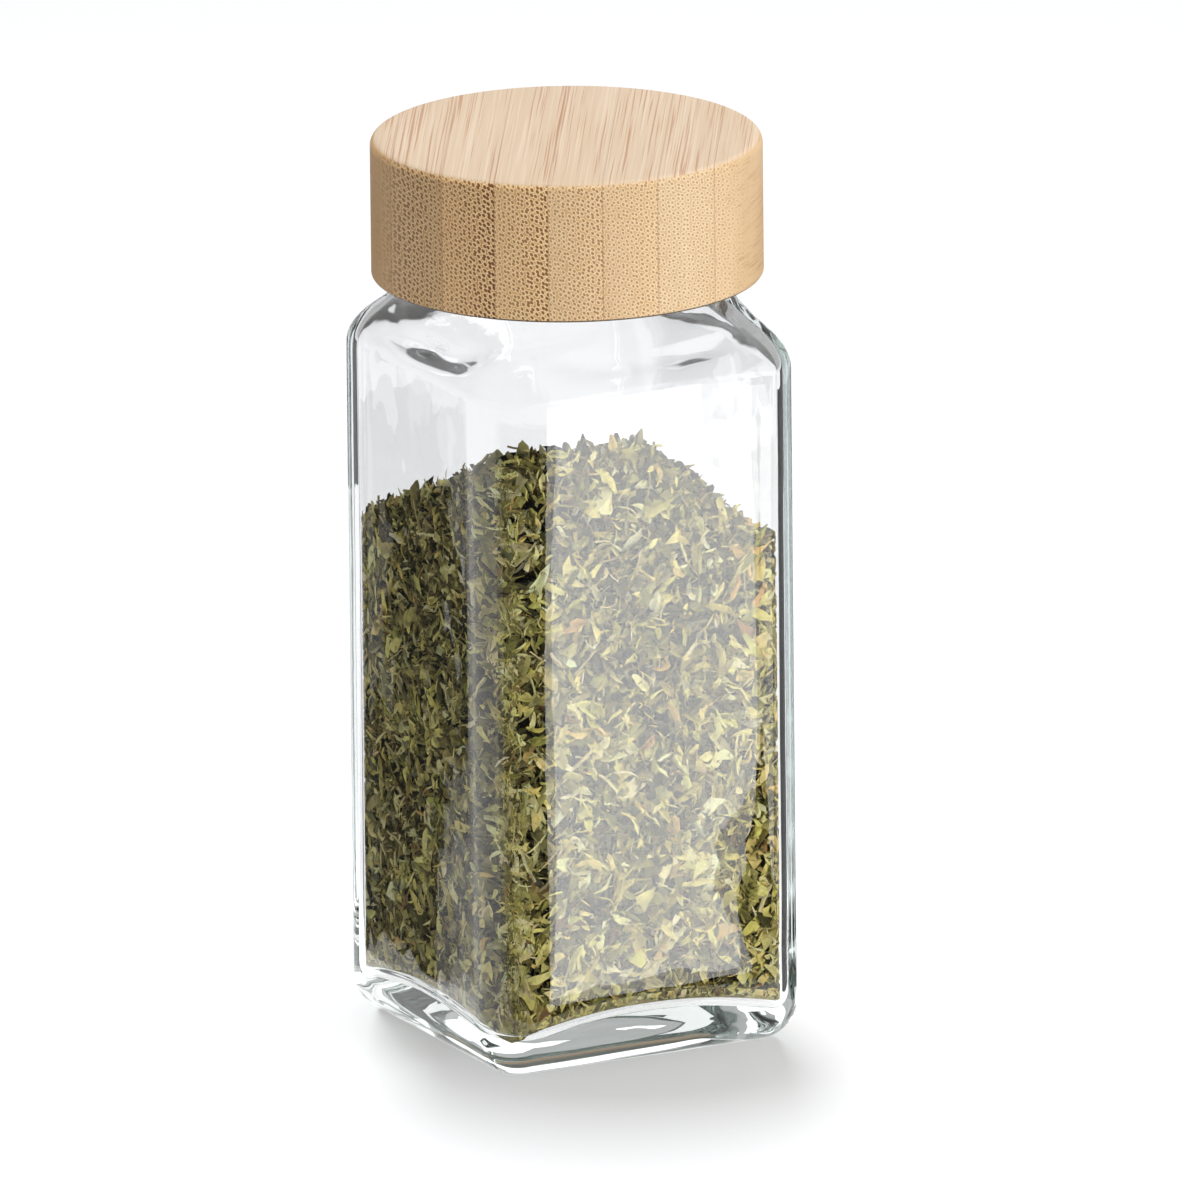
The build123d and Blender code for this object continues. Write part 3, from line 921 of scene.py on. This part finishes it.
def placesFor(layer, rng):
    # The same for the sides, the top or the underside of the heap
    h = herbs
    count = layer["count"]
    low, high = layer["depth"]
    depth = low + (high - low) * rng.uniform(0, 1, count)
    if layer["at"] == "side":
        return placesAtSide(count, depth, rng)
    x, y = rng.uniform(h["edge"] - h["half"], h["half"] - h["edge"], (2, count))
    if layer["at"] == "floor":
        places = np.stack([x, y, floorHeight(x, y) + depth], 1)
        return places, np.tile((0.0, 0.0, -1.0), (count, 1)), depth
    slope = np.stack([(heapHeight(x - 1, y) - heapHeight(x + 1, y)) / 2,
                      (heapHeight(x, y - 1) - heapHeight(x, y + 1)) / 2, np.ones(count)], 1)
    length = h["lumpLength"]
    lumps = np.array([noise.noise(Vector((a / length, b / length, 3.3))) for a, b in zip(x, y)])
    normals = slope / np.linalg.norm(slope, axis=1, keepdims=True)
    return np.stack([x, y, heapHeight(x, y) - depth + lumps * h["lumps"]], 1), normals, depth * 0.5


def scatter(layer, templates, rng):
    h = herbs
    places, normals, depth = placesFor(layer, rng)
    level = np.clip((places[:, 2] - 10) / 60, 0, 1)
    low, high = layer["size"]
    spread = np.clip(rng.lognormal(0.0, h["sizeSpread"], len(places)), *h["sizeLimits"])
    sizes = spread * (low + (high - low) * level)
    # painted shade: the deeper a fragment lies in the heap, the darker its colour
    shade = h["surface"] * np.exp(-h["depthShade"] * np.maximum(depth, 0))
    colours = pickColours(rng, layer) * shade[:, None]
    # painted light: the herbs along the right edge of the front face are brightened, where more light falls
    pale = np.clip((places[:, 0] - h["paintedLightFrom"]) / h["paintedLightOver"], 0, 1)
    pale *= places[:, 1] < 2 - h["half"] * 0.9
    colours *= 1 + h["paintedLightGain"] * pale[:, None]
    turns = turnsTo(normals, rng, layer["tilt"])
    which = rng.integers(0, len(templates), len(places))
    allPoints, allFaces, allColours, start = [], [], [], 0
    for number, (points, faces) in enumerate(templates):
        chosen = np.nonzero(which == number)[0]
        local = points[None] * sizes[chosen][:, None, None]
        world = np.einsum("nij,nkj->nki", turns[chosen], local) + places[chosen][:, None]
        allPoints.append(keepInside(world.reshape(-1, 3)))
        firsts = start + np.arange(len(chosen)) * len(points)
        allFaces.append((faces[None] + firsts[:, None, None]).reshape(-1, 3))
        # the rim of a fragment is paler than its middle, a painted highlight where its curled edges catch the
        # light, and one half is paler than the other, partly its paler underside and partly painted shade of
        # the fold
        off = np.abs(points[:, 1]) / np.abs(points[:, 1]).max()
        rimLightAndFoldShade = (0.72 + 0.55 * off + 0.14 * np.sign(points[:, 1]))[None, :, None]
        flecks = rng.uniform(0.85, 1.15, (len(chosen), len(points), 1))
        allColours.append((colours[chosen][:, None] * rimLightAndFoldShade * flecks).reshape(-1, 3))
        start += len(chosen) * len(points)
    points = np.concatenate(allPoints) * mm
    mesh = bpy.data.meshes.new(layer["name"])
    mesh.from_pydata(points, [], np.concatenate(allFaces))
    tone = mesh.color_attributes.new("tone", "FLOAT_COLOR", "POINT")
    values = np.ones((len(points), 4))
    values[:, :3] = np.concatenate(allColours)
    values[:, :3] /= np.maximum(1, values[:, :3].max(1, keepdims=True) / h["palest"])
    tone.data.foreach_set("color", values.ravel())
    mesh.update()
    print(layer["name"], len(mesh.polygons), "triangles")
    return mesh


def herbFinish():
    f = Finish("driedHerbs")
    tone = f.add("Attribute", {"attribute_name": "tone"}, out="Color")
    coords = f.coords()
    veins = f.noise(coords, 3.0, 2400.0)
    patch = f.noise(coords, 2.0, 700.0)
    shade = f.mix(f.smooth(veins, 0.35, 0.65) * 0.4, tone, f.tint(tone, (0.62, 0.6, 0.5)))
    shade = f.mix(f.smooth(patch, 0.5, 0.75) * 0.35, shade, f.tint(tone, (1.35, 1.3, 1.15)))
    return f.skin({
        "Base Color": shade, "Roughness": 0.72 + veins * 0.15, "Normal": f.bump(veins, 0.5, 0.0001),
        "Specular IOR Level": 0.35,
    })


def coreFinish():
    f = Finish("herbCore")
    lumps = f.noise(f.coords(), 4.0, 900.0)
    stops = [(place, linear(*colour)[:3]) for place, colour in coreShadeColours]
    return f.skin({
        "Base Color": f.add("ValToRGB", {"stops": stops}, {0: lumps}), "Roughness": 0.9,
        "Normal": f.bump(lumps, 1.0, 0.0006), "Specular IOR Level": 0.2,
    })


def makeCore():
    # closes the view between the leaves; its nearly black colours are painted shade deep in the heap
    h = herbs
    half = h["half"] - h["coreInset"]
    bm = bmesh.new()
    bmesh.ops.create_cube(bm, size=2 * half)
    bmesh.ops.subdivide_edges(bm, edges=bm.edges[:], cuts=h["coreCuts"], use_grid_fill=True)
    for vert in bm.verts:
        x, y = vert.co.x, vert.co.y
        high = float(heapHeight(x, y)) - h["coreInset"] * 0.9
        low = glass["floorTop"] + h["coreInset"] * 0.6 - crownDrop(x, y)
        vert.co.z = low + (high - low) * (0.5 + vert.co.z / half / 2)
    bm.normal_update()
    corners = [e for e in bm.edges if e.calc_face_angle(0) > 1.0]
    roundEdges(bm, corners, 1.0, 2)
    for vert in bm.verts:
        vert.co += h["coreRough"] * noise.noise_vector(vert.co * 0.8)
    addPiece("herbCore", toMesh(bm, "herbCore"), "jar", coreFinish(), ("herb_fill",))


def makeHerbs():
    rng = np.random.default_rng(herbs["seed"])
    templates = {name: [makeLeaf(rng, **shape) for _ in range(herbs["templates"])]
                 for name, shape in leafShapes.items()}
    templates["crumb"] = [makeCrumb(rng) for _ in range(herbs["roundTemplates"])]
    templates["stem"] = [makeStem(rng) for _ in range(herbs["roundTemplates"])]
    finish = herbFinish()
    makeCore()
    for layer in herbLayers:
        mesh = scatter(layer, templates[layer.get("shape", "leaf")], rng)
        addPiece(layer["name"], mesh, "jar", finish, ("herb_fill",))


makeHerbs()


# Floor, light and what the glass mirrors

studio = {
    "floorSize": 4000.0, "floorTone": (0.775, 0.78, 0.80, 1), "floorGlow": 0.30, "floorThrough": 0.20,
    "underReach": (0.035, 0.09), "underGlow": 0.45, "farReach": (0.48, 0.62), "farFloor": 0.05,
    "skyLow": 0.58, "skyHigh": 0.22, "skyFade": (0.15, 0.8), "skyMirrored": 0.45,
    "skyThrough": [(0.50, (0.035, 0.055, 0.045)), (0.56, (0.05, 0.06, 0.05)), (0.64, (0.30, 0.22, 0.15)),
                   (0.78, (0.34, 0.25, 0.18)), (0.92, (0.9, 0.9, 0.9))],
}

# Flat cards just over the floor: corners, height and brightness. Rays see them after the first mirroring, or
# from the first to the seventh where mirrored says so.
once, often = (1, 1), (1, 7)
cards = [
    {"name": "darkFront", "height": 0.3, "glow": 0.03,
     "corners": [(24, -42), (44, -46), (142, -262), (60, -330), (-60, -340), (-200, -290), (-300, -200),
                 (-335, -136), (-38, -28)]},
    {"name": "darkLeft", "height": 0.4, "glow": 0.03,
     "corners": [(-30, 15), (-34, 50), (-137, 248), (-166, 280)]},
    {"name": "darkRight", "height": 0.5, "glow": 0.02,
     "corners": [(32, -26), (150, -48), (330, -60), (310, 110), (190, 250), (32, 2)]},
    {"name": "darkFar", "height": 0.9, "glow": 0.03, "mirrored": often,
     "corners": [(201, 76), (168, 146), (113, 201), (42, 234), (-16, 242), (-75, 234), (-104, 225),
                 (-187, 410), (-130, 434), (-18, 449), (93, 434), (228, 371), (333, 266), (397, 130)]},
    {"name": "dimLeft", "height": 0.8, "glow": 0.52,
     "corners": [(-34, 11), (-34, 23), (-180, 308), (-186, 296)]},
    {"name": "dimCorner", "height": 0.7, "glow": 1.0,
     "corners": [(-34, 11), (-186, 296), (-330, 250), (-370, 60), (-335, -136), (-38, -28)]},
    {"name": "veilRight", "height": 0.6, "glow": 4.5,
     "corners": [(-1.0, -45.8), (26.4, -47.4), (40.0, -77.8), (55.6, -106.6), (72.0, -135.4), (119.7, -228.2),
                 (178.4, -343.4), (150.8, -343.4)]},
]


def stagePlane(name, corners, finish, z=0.0):
    bm = bmesh.new()
    bm.faces.new([bm.verts.new((x, y, z)) for x, y in corners])
    mesh = toMesh(bm, name)
    dress(mesh, finish)
    plane = addObject(name, mesh)
    return plane


def floorFinish():
    f = Finish("paleFloor")
    seen, through, mirrored = f.rays("Is Camera Ray", "Is Transmission Ray", "Is Glossy Ray")
    through = through.calc("MAXIMUM", mirrored)
    away = f.add("VectorMath", {"operation": "LENGTH"}, {0: f.coords()}, "Value")
    # the base of the jar shows the floor under it bright, as if lit through the glass
    under = (1 - f.smooth(away, *studio["underReach"])) * studio["underGlow"]
    glow = f.emission(seen * studio["floorGlow"] + through * (under + studio["floorThrough"]))
    near = f.add("AddShader", None, {0: f.add("BsdfDiffuse", None, {"Color": studio["floorTone"]}), 1: glow})
    # what the glass shows of the floor far behind is dark
    far = f.smooth(away, *studio["farReach"]) * through * f.unmirrored()
    return f.end(f.add("MixShader", None, {0: far, 1: near, 2: f.emission(studio["farFloor"])}))


def cardFinish(card):
    f = Finish(card["name"])
    least, most = card.get("mirrored", once)
    times = f.add("LightPath", out="Glossy Depth")
    seen = times.calc("COMPARE", (least + most) / 2, (most - least + 1) / 2)
    shaders = {0: seen, 1: f.add("BsdfTransparent"), 2: f.emission(card["glow"])}
    finish = f.end(f.add("MixShader", None, shaders))
    finish.cycles.emission_sampling = "NONE"
    return finish


def makeStage():
    size = studio["floorSize"]
    stagePlane("floor", [(-size, -size), (size, -size), (size, size), (-size, size)], floorFinish())
    for card in cards:
        plane = stagePlane(card["name"], card["corners"], cardFinish(card), card["height"])
        for sight in ("camera", "diffuse", "shadow", "volume_scatter"):
            setattr(plane, f"visible_{sight}", False)
    print("floor and", len(cards), "cards")


def makeWorld():
    scene.world = bpy.data.worlds.new("studio")
    f = Finish(scene.world)
    seen, mirrored, through = f.rays("Is Camera Ray", "Is Glossy Ray", "Is Transmission Ray")
    z = f.add("SeparateXYZ", None, {0: f.add("TexCoord", out="Generated")}, 2)
    # a soft sky, of one brightness where the glass mirrors or shows it, and white to the camera
    level = studio["skyLow"] + f.smooth(z, *studio["skyFade"]) * (studio["skyHigh"] - studio["skyLow"])
    level = level + mirrored.calc("MAXIMUM", through) * (studio["skyMirrored"] - level)
    level = level.calc("MAXIMUM", seen)
    # straight through the glass the horizon is dark
    room = f.add("ValToRGB", {"stops": studio["skyThrough"]}, {0: z * 0.5 + 0.5})
    grey = f.add("CombineColor", None, {0: level, 1: level, 2: level})
    colour = f.mix(through * f.unmirrored(), grey, room)
    f.end(f.add("Background", None, {"Color": colour, "Strength": 1.0}))


lamps = [
    {"name": "overhead", "from": (50, 185, 900), "wide": 90, "deep": 300, "power": 5.4},
    {"name": "front", "from": (560, -880, 250), "wide": 700, "deep": 440, "power": 7.4},
]
lampAim = {"height": 50.0, "across": (0.8894, -0.45695, 0)}  # their width lies across the line of sight


def makeLamps():
    for lamp in lamps:
        data = bpy.data.lights.new(lamp["name"], "AREA")
        data.shape = "RECTANGLE"
        data.size, data.size_y = lamp["wide"] * mm, lamp["deep"] * mm
        data.energy = lamp["power"]
        light = addObject(lamp["name"], data)
        place = Vector(lamp["from"]) * mm
        facing = (place - Vector((0, 0, lampAim["height"] * mm))).normalized()
        side = Vector(lampAim["across"])
        side = (side - facing * side.dot(facing)).normalized()
        light.matrix_world = turnTo(place, side, facing.cross(side), facing)
        light.visible_glossy = light.visible_transmission = False
    print(len(lamps), "lamps")


makeStage()
makeWorld()
makeLamps()

scene.view_settings.view_transform = "Standard"
scene.cycles.max_bounces, scene.cycles.glossy_bounces, scene.cycles.transmission_bounces = 28, 20, 24
